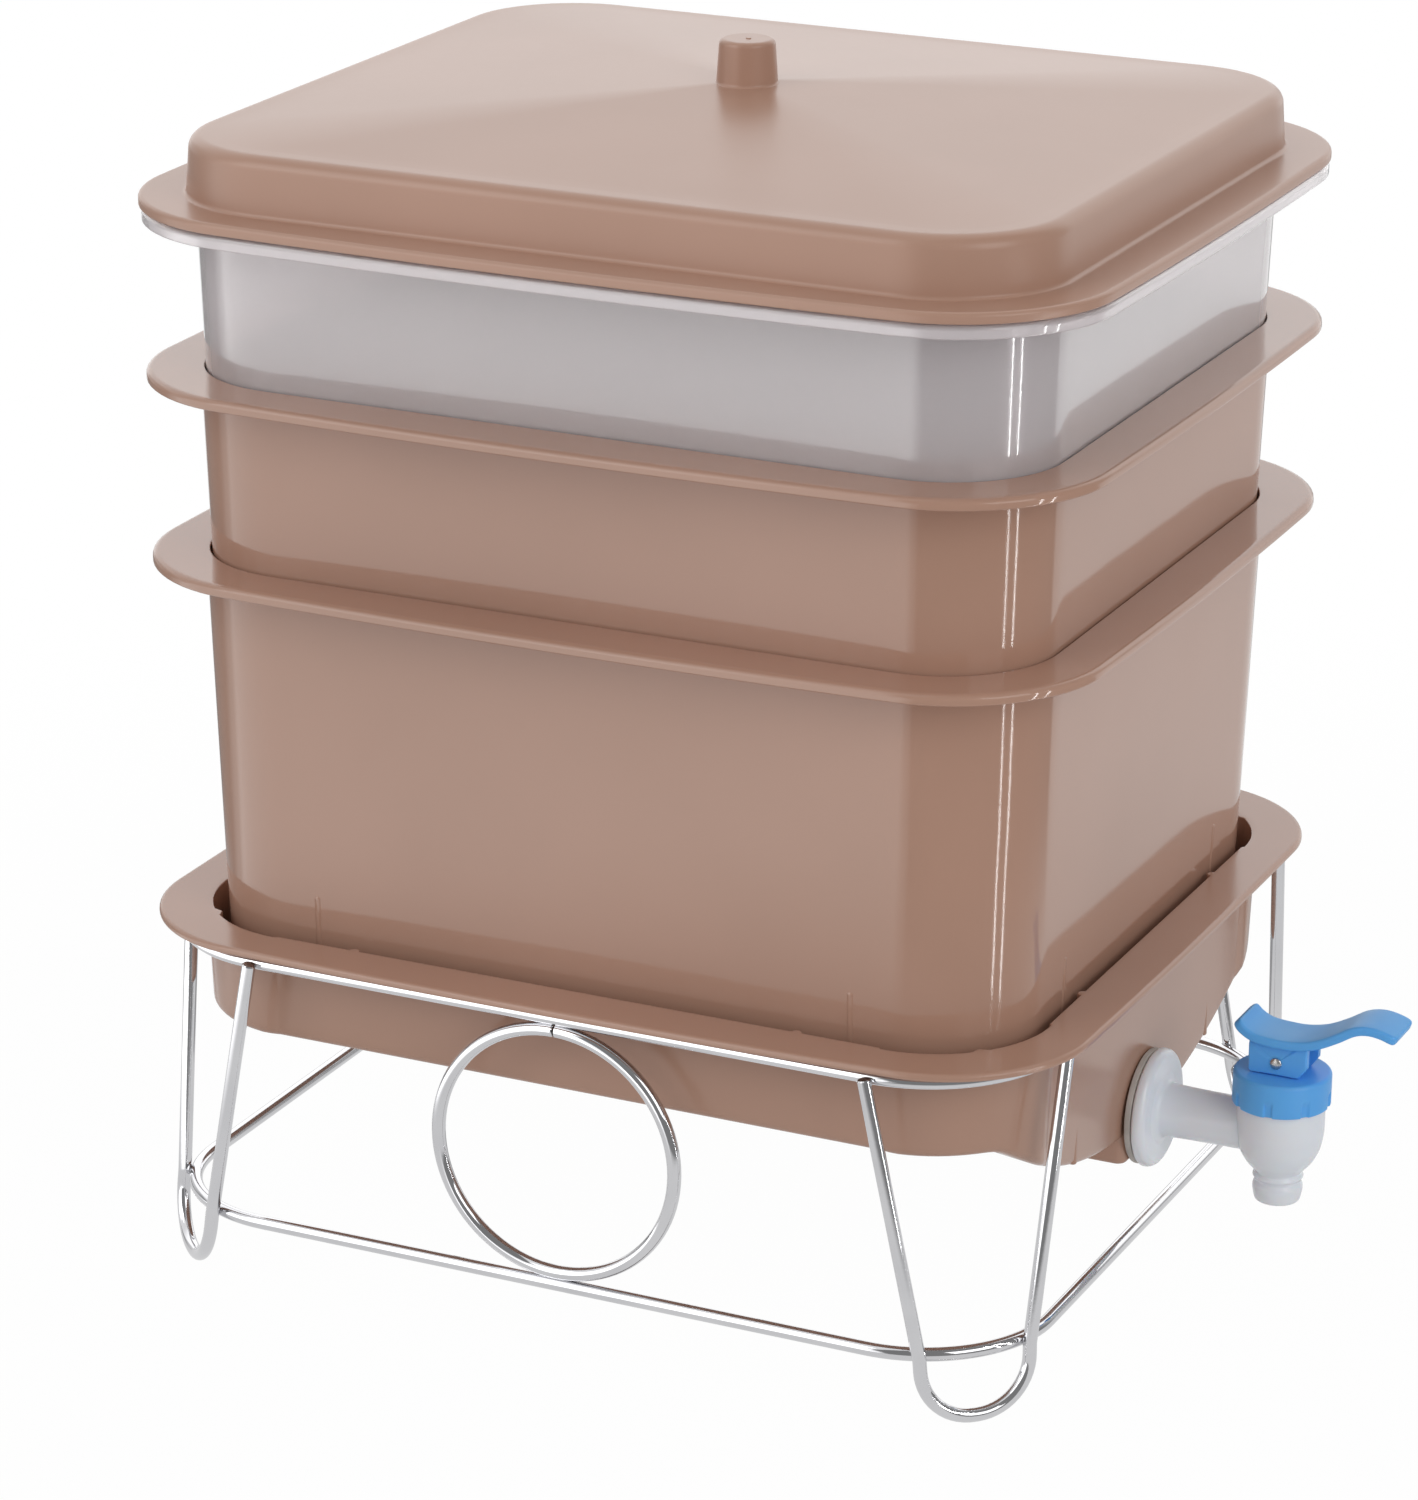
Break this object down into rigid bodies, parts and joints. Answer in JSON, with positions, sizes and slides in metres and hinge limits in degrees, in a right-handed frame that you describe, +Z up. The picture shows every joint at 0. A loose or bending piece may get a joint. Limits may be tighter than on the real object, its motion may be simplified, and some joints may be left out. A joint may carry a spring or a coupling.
{
  "type": "stacking worm composter",
  "caption": "Wormery: nested taupe trays and a clear tray stack in a sloping collection tank with a lever tap, on a chromed wire stand, under a domed lid with a knob.",
  "frame": {"origin": "on the floor, in the middle of the whole outline seen from above", "axes": "+X towards the drain tap, +Z up, -Y towards the front"},
  "size_m": [0.4408, 0.324, 0.4428],
  "materials": {
    "chrome_wire": "bright chromed wire",
    "taupe_plastic": "satin moulded polypropylene, fine grain",
    "clear_plastic": "translucent frosted polypropylene",
    "tap_white": "smooth white moulding",
    "tap_blue": "smooth light blue moulding",
    "seal_rubber": "matte grey-brown rubber",
    "spring_steel": "plain bright steel"
  },
  "bodies": {
    "stand": {"top_loop": "chrome_wire", "bottom_loop": "chrome_wire", "leg_tap_front": "chrome_wire", "leg_tap_back": "chrome_wire", "leg_end_front": "chrome_wire", "leg_end_back": "chrome_wire", "ring_front": "chrome_wire", "ring_back": "chrome_wire"},
    "tank": {"collection_tank": "taupe_plastic", "tap_body": "tap_white", "tap_outer_washer": "seal_rubber", "tap_inner_washer": "seal_rubber", "tap_nut": "tap_white", "tap_collar": "tap_blue", "tap_spring": "spring_steel"},
    "stem": {"valve_stem": "tap_white", "valve_plug": "seal_rubber", "lever_pin": "spring_steel"},
    "lever": {"tap_lever": "tap_blue"},
    "lower_tray": {"lower_tray": "taupe_plastic"},
    "middle_tray": {"middle_tray": "taupe_plastic"},
    "clear_tray": {"clear_tray": "clear_plastic"},
    "lid": {"lid": "taupe_plastic"}
  },
  "joints": [
    {"name": "tank_lift", "type": "slide", "parent": "stand", "child": "tank", "axis": [0, 0, 1], "range_m": [0, 0.036]},
    {"name": "lower_tray_lift", "type": "slide", "parent": "tank", "child": "lower_tray", "axis": [0, 0, 1], "range_m": [0, 0.06]},
    {"name": "middle_tray_lift", "type": "slide", "parent": "lower_tray", "child": "middle_tray", "axis": [0, 0, 1], "range_m": [0, 0.12]},
    {"name": "clear_tray_lift", "type": "slide", "parent": "middle_tray", "child": "clear_tray", "axis": [0, 0, 1], "range_m": [0, 0.12]},
    {"name": "lid_lift", "type": "slide", "parent": "clear_tray", "child": "lid", "axis": [0, 0, 1], "range_m": [0, 0.06]},
    {"name": "stem_lift", "type": "slide", "parent": "tank", "child": "stem", "axis": [0, 0, 1], "range_m": [0, 0.0031], "deforming": ["tap_spring"]},
    {"name": "lever_press", "type": "hinge", "parent": "stem", "child": "lever", "pos_m": [0.17542, 0, 0.0942], "axis": [0, 1, 0], "range_deg": [0, 25], "stiffness_Nm_per_rad": 0.6, "springref_deg": -5.73}
  ],
  "couplings": [
    {"joint": "stem_lift", "follows": "lever_press", "m_per_rad": 0.007}
  ]
}
